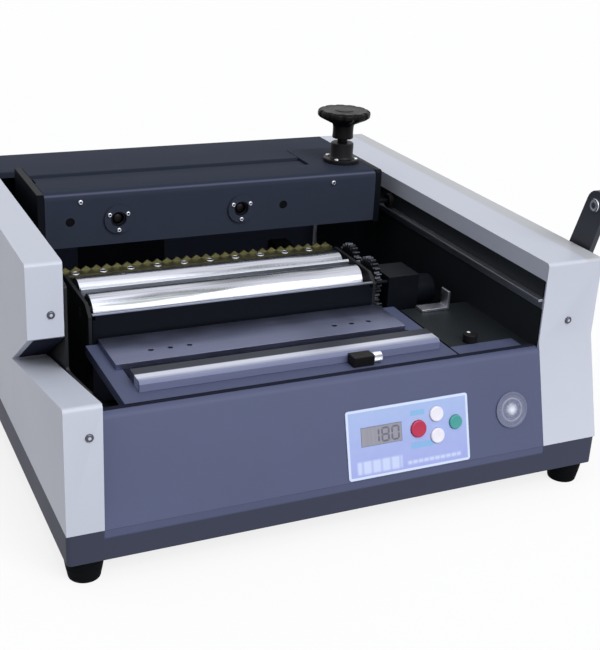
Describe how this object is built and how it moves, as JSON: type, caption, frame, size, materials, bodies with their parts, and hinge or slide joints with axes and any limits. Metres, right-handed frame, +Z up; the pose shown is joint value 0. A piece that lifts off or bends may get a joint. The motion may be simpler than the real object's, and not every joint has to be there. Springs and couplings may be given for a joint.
{
  "type": "thermal binding machine",
  "caption": "Desktop hot-glue book binder with a sliding clamp carriage, glue tank with geared rollers, cam-lifted nipping table, side lever and sloping control panel.",
  "frame": {"origin": "middle of the bottom of the whole machine's box, on the plane its feet stand on", "axes": "+X to the right seen from the control panel, +Y to the back, +Z up"},
  "size_m": [0.7014, 0.6058, 0.342],
  "materials": {
    "light_paint": "satin light grey powder coat",
    "slate_paint": "satin slate blue powder coat",
    "dark_paint": "satin dark slate powder coat",
    "pan_paint": "satin dark grey paint",
    "black_steel": "black satin paint",
    "rubber": "matt",
    "black_plastic": "fine grain",
    "bright_steel": "ground and polished",
    "blue_steel": "brushed",
    "brass": "dull",
    "aluminium": "mill finish",
    "overlay_film": "printed film, satin",
    "display_window": "gloss",
    "red_plastic": "gloss",
    "white_plastic": "gloss",
    "green_plastic": "gloss",
    "emblem_metal": "satin",
    "circuit_board": "solder mask"
  },
  "bodies": {
    "frame": {"foot_front_left": "rubber", "foot_front_right": "rubber", "foot_rear_left": "rubber", "foot_rear_right": "rubber", "base_pan": "pan_paint", "front_panel": "slate_paint", "control_overlay": "overlay_film", "display_window": "display_window", "control_board": "circuit_board", "emblem_disc": "emblem_metal", "front_left_cover": "light_paint", "rear_left_cover": "light_paint", "right_cover": "light_paint", "rear_cover": "dark_paint", "power_inlet": "black_plastic", "left_side_frame": "black_steel", "right_side_frame": "black_steel", "right_rail": "aluminium", "glue_end_left": "black_steel", "glue_end_right": "black_steel", "glue_tank": "dark_paint", "heater_plate": "aluminium", "glue_lip": "aluminium", "doctor_blade": "aluminium", "notch_cutter": "brass", "gear_motor": "black_steel", "angle_bracket": "bright_steel"},
    "carriage": {"carriage_housing": "dark_paint", "rear_jaw": "dark_paint", "carriage_end_left": "black_steel", "carriage_end_right": "black_steel", "knob_base": "black_plastic"},
    "jaw": {"front_jaw": "dark_paint", "clamp_spindle_left": "bright_steel", "clamp_spindle_right": "bright_steel"},
    "knob": {"clamp_knob": "black_plastic"},
    "shaft": {"cross_shaft": "bright_steel"},
    "nut_left": {"spindle_nut_left": "brass"},
    "nut_right": {"spindle_nut_right": "brass"},
    "wheel_left": {"wheel_left_middle": "black_plastic"},
    "wheel_right_1": {"wheel_right_front": "black_plastic"},
    "wheel_right_2": {"wheel_right_rear": "black_plastic"},
    "roller_main": {"main_roller": "bright_steel", "main_gear": "brass"},
    "roller_rear": {"rear_roller": "bright_steel", "rear_gear": "brass"},
    "pinion": {"motor_pinion": "bright_steel"},
    "table": {"nip_table": "slate_paint", "nip_plate": "blue_steel", "nip_bar": "bright_steel"},
    "stop": {"side_stop": "black_plastic"},
    "stop_screw": {"thumb_screw": "bright_steel"},
    "lever": {"press_shaft": "bright_steel", "press_lever": "black_steel", "lever_grip": "black_plastic"},
    "button_red": {"red_button": "red_plastic"},
    "button_white_upper": {"white_button_upper": "white_plastic"},
    "button_white_lower": {"white_button_lower": "white_plastic"},
    "button_green": {"green_button": "green_plastic"},
    "dial": {"heater_dial": "black_plastic"}
  },
  "joints": [
    {"name": "carriage_slide", "type": "slide", "parent": "frame", "child": "carriage", "axis": [0, -1, 0], "range_m": [0, 0.296]},
    {"name": "jaw_slide", "type": "slide", "parent": "carriage", "child": "jaw", "axis": [0, -1, 0], "range_m": [0, 0.042]},
    {"name": "knob_turn", "type": "hinge", "parent": "carriage", "child": "knob", "pos_m": [0.11285, 0.10215, 0.3], "axis": [0, 0, 1], "range_deg": [0, 3340]},
    {"name": "shaft_turn", "type": "hinge", "parent": "carriage", "child": "shaft", "pos_m": [-0.05, 0.06765, 0.259], "axis": [1, 0, 0], "range_deg": [0, 5445]},
    {"name": "nut_left_turn", "type": "hinge", "parent": "carriage", "child": "nut_left", "pos_m": [-0.19715, 0.06, 0.2405], "axis": [0, 1, 0], "range_deg": [0, 3025]},
    {"name": "nut_right_turn", "type": "hinge", "parent": "carriage", "child": "nut_right", "pos_m": [-0.04515, 0.06, 0.2405], "axis": [0, 1, 0], "range_deg": [0, 3025]},
    {"name": "wheel_left_roll", "type": "hinge", "parent": "carriage", "child": "wheel_left", "pos_m": [-0.3046, 0.11015, 0.1493], "axis": [1, 0, 0], "continuous": true},
    {"name": "wheel_right_1_roll", "type": "hinge", "parent": "carriage", "child": "wheel_right_1", "pos_m": [0.1726, 0.07515, 0.2263], "axis": [1, 0, 0], "continuous": true},
    {"name": "wheel_right_2_roll", "type": "hinge", "parent": "carriage", "child": "wheel_right_2", "pos_m": [0.1726, 0.14515, 0.2263], "axis": [1, 0, 0], "continuous": true},
    {"name": "main_roller_turn", "type": "hinge", "parent": "frame", "child": "roller_main", "pos_m": [-0.1, -0.07035, 0.181], "axis": [1, 0, 0], "continuous": true},
    {"name": "rear_roller_turn", "type": "hinge", "parent": "frame", "child": "roller_rear", "pos_m": [-0.1, -0.02035, 0.181], "axis": [1, 0, 0], "continuous": true},
    {"name": "pinion_turn", "type": "hinge", "parent": "frame", "child": "pinion", "pos_m": [0.07, -0.09016, 0.15164], "axis": [1, 0, 0], "continuous": true},
    {"name": "lever_swing", "type": "hinge", "parent": "frame", "child": "lever", "pos_m": [0, -0.17595, 0.118], "axis": [1, 0, 0], "range_deg": [0, 65]},
    {"name": "table_lift", "type": "slide", "parent": "frame", "child": "table", "axis": [0, 0, 1], "range_m": [0, 0.036]},
    {"name": "stop_slide", "type": "slide", "parent": "table", "child": "stop", "axis": [1, 0, 0], "range_m": [-0.18, 0.07]},
    {"name": "stop_screw_turn", "type": "hinge", "parent": "stop", "child": "stop_screw", "pos_m": [-0.018, -0.23815, 0.1633], "axis": [1, 0, 0], "range_deg": [0, 720]},
    {"name": "red_press", "type": "slide", "parent": "frame", "child": "button_red", "axis": [0, 0.9591, -0.2832], "range_m": [0, 0.0015], "stiffness_N_per_m": 400, "springref_m": -0.0005},
    {"name": "white_upper_press", "type": "slide", "parent": "frame", "child": "button_white_upper", "axis": [0, 0.9591, -0.2832], "range_m": [0, 0.0015], "stiffness_N_per_m": 400, "springref_m": -0.0005},
    {"name": "white_lower_press", "type": "slide", "parent": "frame", "child": "button_white_lower", "axis": [0, 0.9591, -0.2832], "range_m": [0, 0.0015], "stiffness_N_per_m": 400, "springref_m": -0.0005},
    {"name": "green_press", "type": "slide", "parent": "frame", "child": "button_green", "axis": [0, 0.9591, -0.2832], "range_m": [0, 0.0015], "stiffness_N_per_m": 400, "springref_m": -0.0005},
    {"name": "dial_turn", "type": "hinge", "parent": "frame", "child": "dial", "pos_m": [0.11785, -0.22235, 0.16], "axis": [0, 0, 1], "range_deg": [0, 270]}
  ],
  "couplings": [
    {"joint": "knob_turn", "follows": "jaw_slide", "rad_per_m": 1387},
    {"joint": "shaft_turn", "follows": "jaw_slide", "rad_per_m": 2261.9},
    {"joint": "nut_left_turn", "follows": "jaw_slide", "rad_per_m": 1256.6},
    {"joint": "nut_right_turn", "follows": "jaw_slide", "rad_per_m": 1256.6},
    {"joint": "wheel_left_roll", "follows": "carriage_slide", "rad_per_m": 90.909},
    {"joint": "wheel_right_1_roll", "follows": "carriage_slide", "rad_per_m": 111.11},
    {"joint": "wheel_right_2_roll", "follows": "carriage_slide", "rad_per_m": 111.11},
    {"joint": "rear_roller_turn", "follows": "main_roller_turn", "ratio": -1},
    {"joint": "pinion_turn", "follows": "main_roller_turn", "ratio": -2.4},
    {"joint": "table_lift", "follows": "lever_swing", "m_per_rad": 0.03173}
  ]
}
